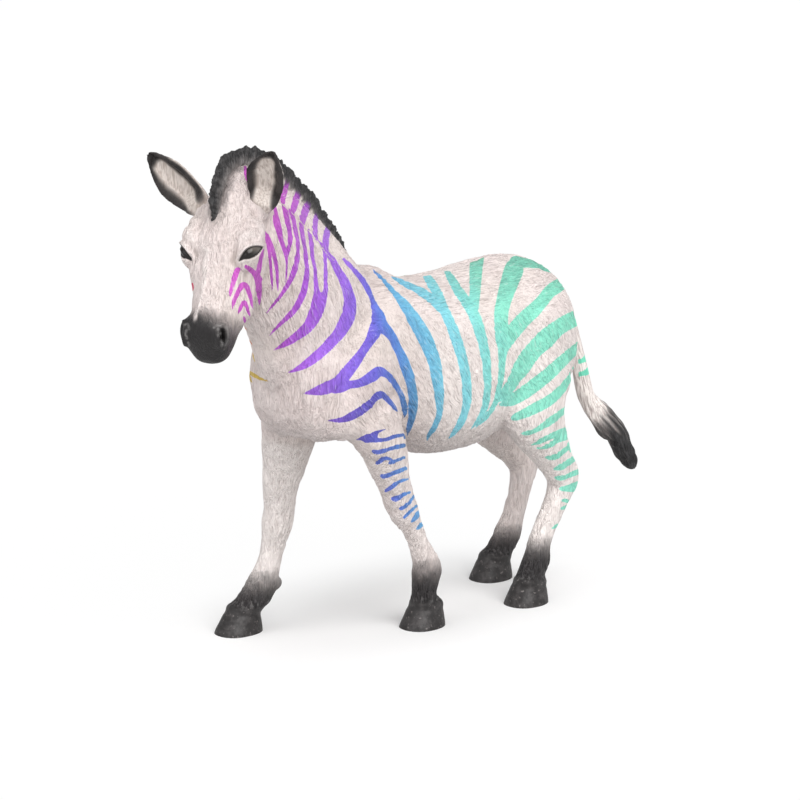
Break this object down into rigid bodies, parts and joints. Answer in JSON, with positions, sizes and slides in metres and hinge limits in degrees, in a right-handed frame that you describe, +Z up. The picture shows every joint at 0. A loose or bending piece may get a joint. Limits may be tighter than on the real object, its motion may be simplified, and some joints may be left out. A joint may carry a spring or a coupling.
{
  "type": "toy zebra figure",
  "caption": "Walking toy zebra in painted solid plastic, with separate body, head, mane, ear, leg and tail mouldings fixed together, standing on flat hooves.",
  "frame": {"origin": "centre of the bounding box of the whole figure, on the ground under the hooves", "axes": "+Z up, the animal walks toward -Y, its left flank is at +X"},
  "size_m": [0.0364, 0.1196, 0.0975],
  "materials": {
    "torso": "matt painted coat with raised fur and coloured stripes",
    "head_and_neck": "matt painted coat with coloured stripes and a dark muzzle",
    "mane": "matt painted hair, dark with grey ends",
    "ear_left": "matt paint, pale with a dark rim",
    "ear_right": "matt paint, pale with a dark rim",
    "front_leg_left": "matt paint, striped above and dark at the hoof",
    "front_leg_right": "matt paint, striped above and dark at the hoof",
    "hind_leg_left": "matt paint, striped above and dark at the hoof",
    "hind_leg_right": "matt paint, striped above and dark at the hoof",
    "tail": "matt paint, pale above and dark at the tuft"
  },
  "bodies": {
    "root": {"torso": "torso", "head_and_neck": "head_and_neck", "mane": "mane", "ear_left": "ear_left", "ear_right": "ear_right", "front_leg_left": "front_leg_left", "front_leg_right": "front_leg_right", "hind_leg_left": "hind_leg_left", "hind_leg_right": "hind_leg_right", "tail": "tail"}
  },
  "joints": []
}
